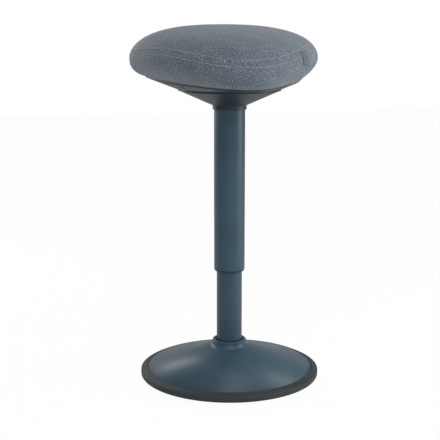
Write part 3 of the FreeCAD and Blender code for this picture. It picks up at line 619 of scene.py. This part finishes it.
bm = bmesh.new()
bm.from_mesh(cushion.data)
for turn in range(3):
    above_board = [v for v in bm.verts if v.co.z > 3 * mm]
    bmesh.ops.smooth_vert(bm, verts=above_board, factor=0.5,
                          use_axis_x=True, use_axis_y=True, use_axis_z=True)
seam_line = seam_points(BVHTree.FromBMesh(bm), 1200)
seam_tree = tree_of(seam_line)
bmesh.ops.subdivide_edges(bm, edges=bm.edges, cuts=1, use_grid_fill=True, smooth=0.4)
near = [e for e in bm.edges if all(seam_tree.find(v.co)[2] < divided_near for v in e.verts)]
bmesh.ops.subdivide_edges(bm, edges=near, cuts=1, use_grid_fill=True, smooth=0.0)
print("points after dividing:", len(bm.verts))


# %% Crease, pillows and stitch dents
def seam_profile(distance):
    """How far the cloth stands out at a distance from the seam."""
    crease = -0.7 * mm * math.exp(-(distance / (1.1 * mm)) ** 2)
    pillow = 0.3 * mm * math.exp(-((abs(distance) - 3.6 * mm) / (1.8 * mm)) ** 2)
    dent = -0.3 * mm * math.exp(-((abs(distance) - stitch_offset) / (1.1 * mm)) ** 2)
    return crease + pillow + dent


pucker_share = 0.22
points_to_a_stitch = 6
bm.normal_update()
pushes = []
for vertex in bm.verts:
    nearest, index, distance = seam_tree.find(vertex.co)
    if distance < shaped_near:
        side = 1 if vertex.co.z > nearest.z else -1
        near_stitches = math.exp(-((distance - stitch_offset) / (2.5 * mm)) ** 2)
        pucker = 1 + pucker_share * near_stitches * math.sin(2 * math.pi * index / points_to_a_stitch)
        pushes.append((vertex, vertex.normal * seam_profile(distance * side) * pucker))
for vertex, push in pushes:
    vertex.co += push
print("points shaped by the seam:", len(pushes))

# %% [markdown]
# ## Lay the weave on the panels
#
# A woven cloth is cut flat, so each panel has its own straight grain. The top panel is
# mapped straight down, and the side panel is unrolled: its first axis is the way round,
# its second the height. Both are in metres, which lets the cloth's pattern use real sizes.

# %% Panel map
girth_radius = 180 * mm
side_panel_start = 1.0


def unroll(loop, layer, angle, height):
    """Lay a loop on the side panel's map: the way round first, the height second."""
    spot_angle = math.atan2(loop.vert.co.y, loop.vert.co.x)
    if spot_angle - angle > math.pi:
        spot_angle -= 2 * math.pi
    elif angle - spot_angle > math.pi:
        spot_angle += 2 * math.pi
    loop[layer].uv = (side_panel_start + girth_radius * spot_angle, height)


panel = bm.loops.layers.uv.new("panel")
for face in bm.faces:
    middle = face.calc_center_median()
    angle = math.atan2(middle.y, middle.x)
    on_top = middle.z > seam_height(angle)
    for loop in face.loops:
        spot = loop.vert.co
        if on_top:
            loop[panel].uv = (spot.x, spot.y)
        else:
            unroll(loop, panel, angle, spot.z)
    face.smooth = True
cushion_tree = BVHTree.FromBMesh(bm)
bm.to_mesh(cushion.data)
bm.free()
cushion.data.materials.clear()
cushion.data.materials.append(upholstery_cloth)
cushion.data.transform(lean_on_stool)
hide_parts("cover_top", "cover_side", "cushion_foam")
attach(cushion, "seat")
print("cushion triangles:", sum(len(p.vertices) - 2 for p in cushion.data.polygons))

# %% [markdown]
# ## Handing a piece over
#
# The pieces from here on end alike: the bmesh becomes an object at the origin with one
# material, and it rides on a body of the stool.

# %% A finished piece
def finished_object(name, bm, material, body, smooth=True):
    mesh = bpy.data.meshes.new(name)
    for face in bm.faces:
        face.smooth = smooth
    bm.to_mesh(mesh)
    bm.free()
    mesh.materials.append(material)
    piece = bpy.data.objects.new(name, mesh)
    bpy.context.scene.collection.objects.link(piece)
    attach(piece, body)
    return piece


# %% [markdown]
# ## Turned hem
#
# Under the seat the cover is turned in round a cord and stapled, which leaves a soft
# rolled edge that hides the board. It is a tube: one hoop on the seat's low outline,
# extruded round a small circle and bridged back to its start.

# %% Hem
hem_radius = 2.1 * mm
hem_inset = 1.0 * mm
hem_height = 0.9 * mm
hem_sides = 10


def hem_hoop(step):
    turn = 2 * math.pi * step / hem_sides
    out, up = hem_radius * math.cos(turn), hem_radius * math.sin(turn)
    return lambda a: (side_reach(a, 1.0, hem_inset - out), hem_height + up)


bm = bmesh.new()
bmesh.ops.create_circle(bm, cap_ends=False, segments=240, radius=0.1)
place_ring(bm.verts, hem_hoop(0))
first_hoop = edges = list(bm.edges)
for step in range(1, hem_sides):
    made = bmesh.ops.extrude_edge_only(bm, edges=edges)["geom"]
    place_ring([g for g in made if isinstance(g, bmesh.types.BMVert)], hem_hoop(step))
    edges = [g for g in made if isinstance(g, bmesh.types.BMEdge)]
bmesh.ops.bridge_loops(bm, edges=first_hoop + edges)
bmesh.ops.recalc_face_normals(bm, faces=bm.faces)
panel = bm.loops.layers.uv.new("panel")
for face in bm.faces:
    middle = face.calc_center_median()
    for loop in face.loops:
        unroll(loop, panel, math.atan2(middle.y, middle.x), loop.vert.co.z)
bm.transform(lean_on_stool)
finished_object("turned_hem", bm, upholstery_cloth, "seat")
print("hem sewn round the board")

# %% [markdown]
# ## Top stitching
#
# Two rows of thread run 6.5 mm above and below the seam, five stitches to the inch. Real
# thread is half as thick; it is drawn at 1 mm so that the rows show from two metres.
# Each stitch is a tiny bean: a sphere with few faces, stretched to 3.6 mm and laid along
# the row with its ends sunk in the cloth. The rows are found by walking up or down the
# cushion from the seam until the right distance is reached.

# %% Stitches
stitch_length = 3.6 * mm
stitch_pitch = 5.0 * mm
thread_radius = 0.5 * mm
stitch_lift = 0.12 * mm
steps_round = 720
walk_step = 0.4 * mm
most_wander = 0.06


def row_point(angle, offset):
    """A point on the cloth at a distance above or below the seam, and the cloth's normal."""
    outwards = Vector((math.cos(angle), math.sin(angle), 0))
    height = seam_height(angle)
    seam = cushion_tree.ray_cast(Vector((0, 0, height)), outwards)[0]
    while True:
        height += math.copysign(walk_step, offset)
        spot, normal = cushion_tree.ray_cast(Vector((0, 0, height)), outwards)[:2]
        if (spot - seam).length >= abs(offset):
            return spot, normal


def row_of_stitches(bm, offset):
    path = [row_point(2 * math.pi * k / steps_round, offset) for k in range(steps_round)]
    since = 0.0
    count = 0
    for (here, normal), (there, _) in zip(path, path[1:] + path[:1]):
        since += (there - here).length
        if since < stitch_pitch:
            continue
        since -= stitch_pitch
        along = (there - here).normalized()
        across = normal.cross(along).normalized()
        out = along.cross(across)
        if out.dot(Vector((here.x, here.y, 0))) < 0:
            out = -out
            across = -across
        turn = Matrix((along, across, out)).transposed().to_4x4()
        size = Matrix.Diagonal((stitch_length / 2, thread_radius, thread_radius, 1))
        wander = Matrix.Rotation(chance.uniform(-most_wander, most_wander), 4, "Z")
        place = Matrix.Translation(here + out * stitch_lift) @ turn @ wander @ size
        bmesh.ops.create_uvsphere(bm, u_segments=7, v_segments=5, radius=1, matrix=place)
        count += 1
    return count


bm = bmesh.new()
stitches = row_of_stitches(bm, stitch_offset) + row_of_stitches(bm, -stitch_offset)
bm.transform(lean_on_stool)
bmesh.ops.recalc_face_normals(bm, faces=bm.faces)
finished_object("seam_stitches", bm, thread, "seat")
print("stitches sewn:", stitches)

# %% [markdown]
# ## The tag
#
# A small folded tape is caught in the seam and hangs over the side panel. It is plain.
# A flat grid is laid on the cushion point by point, a little clear of the cloth and
# further clear towards its free edge, and then given a thickness.

# %% Tag
tag_direction = math.radians(-47)
tag_width = 28 * mm
tag_length = 24 * mm
tag_thickness = 0.9 * mm
tag_girth = 182 * mm
tag_lift, free_edge_lift = 0.5 * mm, 1.6 * mm


def make_tag():
    bm = bmesh.new()
    bmesh.ops.create_grid(bm, x_segments=14, y_segments=12, size=0.5)
    panel = bm.loops.layers.uv.new("panel")
    for face in bm.faces:
        for loop in face.loops:
            loop[panel].uv = (loop.vert.co.x * tag_width, loop.vert.co.y * tag_length)
    top = seam_height(tag_direction)
    for vertex in bm.verts:
        sideways, down = vertex.co.x, 0.5 - vertex.co.y
        angle = tag_direction + sideways * tag_width / tag_girth
        outwards = Vector((math.cos(angle), math.sin(angle), 0))
        height = top - down * tag_length
        spot, normal = cushion_tree.ray_cast(Vector((0, 0, height)), outwards)[:2]
        lift = tag_lift + free_edge_lift * down ** 2
        vertex.co = spot + outwards * lift
    bmesh.ops.solidify(bm, geom=bm.faces, thickness=-tag_thickness)
    bmesh.ops.recalc_face_normals(bm, faces=bm.faces)
    bm.transform(lean_on_stool)
    tag = finished_object("bare_tag", bm, tag_cloth, "seat")
    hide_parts("seam_tag")
    return tag


tag = make_tag()
print("tag points:", len(tag.data.vertices))

# %% [markdown]
# ## The spun base
#
# A spinner presses a steel disc over a turning form, which leaves a shallow cone that
# flares up into an upright neck with a small rolled lip. The frame's own base has a tighter
# flare, so the show surface is spun again here: a line of four points, two of its corners
# rounded, turned a full circle about the column, and given the sheet's 2 mm.

# %% Base
base_slope = math.radians(17.9)
base_edge = 170.5 * mm
paint_edge, paint_edge_height = 165.1 * mm, 28.0 * mm
neck_radius, neck_top, lip_radius = 33.2 * mm, 83.0 * mm, 27.0 * mm
flare, roll = 8.6 * mm, 2.4 * mm
sheet = 2.0 * mm


def cone_height(radius):
    return paint_edge_height + (paint_edge - radius) * math.tan(base_slope)


bm = bmesh.new()
line = [(base_edge, cone_height(base_edge)), (neck_radius, cone_height(neck_radius)),
        (neck_radius, neck_top), (lip_radius, neck_top)]
points = [bm.verts.new((reach, 0, height)) for reach, height in line]
for here, there in zip(points, points[1:]):
    bm.edges.new((here, there))
for corner, size in ((points[1], flare), (points[2], roll)):
    bmesh.ops.bevel(bm, geom=[corner], offset=size, offset_type="OFFSET", segments=10, profile=0.5,
                    affect="VERTICES", material=-1)
bmesh.ops.spin(bm, geom=bm.verts[:] + bm.edges[:], cent=(0, 0, 0), axis=(0, 0, 1), angle=2 * math.pi,
               steps=160, use_merge=True)
bmesh.ops.recalc_face_normals(bm, faces=bm.faces)
if sum(face.normal.z for face in bm.faces) < 0:
    bmesh.ops.reverse_faces(bm, faces=bm.faces)
bmesh.ops.solidify(bm, geom=bm.faces, thickness=sheet)
heights = [v.co.z / mm for v in bm.verts]
print("base spun, from", round(min(heights), 1), "to", round(max(heights), 1), "mm up")
spun_base = finished_object("spun_base", bm, powder_coat, "base")
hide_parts("base_dome")

# %% [markdown]
# ## The studio
#
# A pale floor and a white surround, as in a catalogue picture. The surround is white to the
# camera, a fifth of that to reflections, which keeps the satin paint deep, and weaker as a
# light. The camera sees the floor almost as bare paper, with a trace of its shadow. Four
# soft lamps do the modelling: a large one above, a tall one from the right that draws the
# long highlight down the column, a thin one from behind on the left for the bright left
# edge, and a weak one in front that fills.

# %% Surround and floor
gloss_share = 0.2
paper_share = 0.97


def make_surround():
    world = bpy.data.worlds.new("studio_surround")
    bpy.context.scene.world = world
    world.use_nodes = True
    tree = world.node_tree
    tree.nodes.clear()
    path = add_node(tree, "ShaderNodeLightPath")
    glossy = add_node(tree, "ShaderNodeMath", {
        0: path.outputs["Is Glossy Ray"], 1: gloss_share}, operation="MULTIPLY")
    seen = add_node(tree, "ShaderNodeMath", {
        0: path.outputs["Is Camera Ray"], 1: glossy.outputs["Value"]}, operation="MAXIMUM")
    seen_at_all = add_node(tree, "ShaderNodeMath", {
        0: seen.outputs["Value"], 1: path.outputs["Is Transmission Ray"]}, operation="MAXIMUM")
    glow = add_node(tree, "ShaderNodeBackground", {"Color": (0.92, 0.96, 1.0, 1), "Strength": 0.38})
    white = add_node(tree, "ShaderNodeBackground", {"Color": (1, 1, 1, 1), "Strength": 1.0})
    mix = add_node(tree, "ShaderNodeMixShader", {
        0: seen_at_all.outputs["Value"], 1: glow.outputs["Background"], 2: white.outputs["Background"]})
    add_node(tree, "ShaderNodeOutputWorld", {"Surface": mix.outputs["Shader"]})


def make_floor():
    material, tree, shader = new_material("matte_white_floor_paint")
    place = add_node(tree, "ShaderNodeTexCoord").outputs["Object"]
    wear = add_node(tree, "ShaderNodeTexNoise", {"Vector": place, "Scale": 3.0, "Detail": 4.0})
    paint = add_node(tree, "ShaderNodeValToRGB", {"Fac": wear.outputs["Fac"]}, stops=[
        (0.3, "F3F3F3"), (0.7, "F8F8F8")])
    connect(tree, shader, colour=paint.outputs["Color"])
    shader.inputs["Roughness"].default_value = 0.8
    path = add_node(tree, "ShaderNodeLightPath")
    share = add_node(tree, "ShaderNodeMath", {
        0: path.outputs["Is Camera Ray"], 1: paper_share}, operation="MULTIPLY")
    paper = add_node(tree, "ShaderNodeEmission", {"Color": (1, 1, 1, 1), "Strength": 1.0})
    mix = add_node(tree, "ShaderNodeMixShader", {
        0: share.outputs["Value"], 1: shader.outputs["BSDF"], 2: paper.outputs["Emission"]})
    tree.links.new(mix.outputs["Shader"], tree.nodes["Material Output"].inputs["Surface"])
    bm = bmesh.new()
    bmesh.ops.create_grid(bm, x_segments=1, y_segments=1, size=6)
    mesh = bpy.data.meshes.new("studio_floor")
    bm.to_mesh(mesh)
    bm.free()
    mesh.materials.append(material)
    floor = bpy.data.objects.new("studio_floor", mesh)
    bpy.context.scene.collection.objects.link(floor)


make_surround()
make_floor()
print("floor laid")


# %% Lamps
def add_lamp(name, place, target, size, size_y, power):
    data = bpy.data.lights.new(name, "AREA")
    data.shape = "RECTANGLE"
    data.size = size
    data.size_y = size_y
    data.energy = power
    lamp = bpy.data.objects.new(name, data)
    lamp.location = place
    lamp.rotation_euler = (Vector(target) - Vector(place)).to_track_quat("-Z", "Y").to_euler()
    bpy.context.scene.collection.objects.link(lamp)


add_lamp("top_softbox", (0.1, -1.3, 2.1), (0, 0, 0.3), 1.6, 1.6, 16)
add_lamp("right_softbox", (1.55, -0.5, 0.85), (0, 0, 0.4), 0.7, 1.3, 17)
add_lamp("left_strip", (-1.05, 1.35, 1.0), (0, 0, 0.5), 0.3, 1.3, 11)
add_lamp("front_fill", (-0.5, -2.5, 1.5), (0, 0, 0.2), 1.2, 1.2, 14)
bpy.context.scene.view_settings.view_transform = "Standard"
print("lamps: 4")
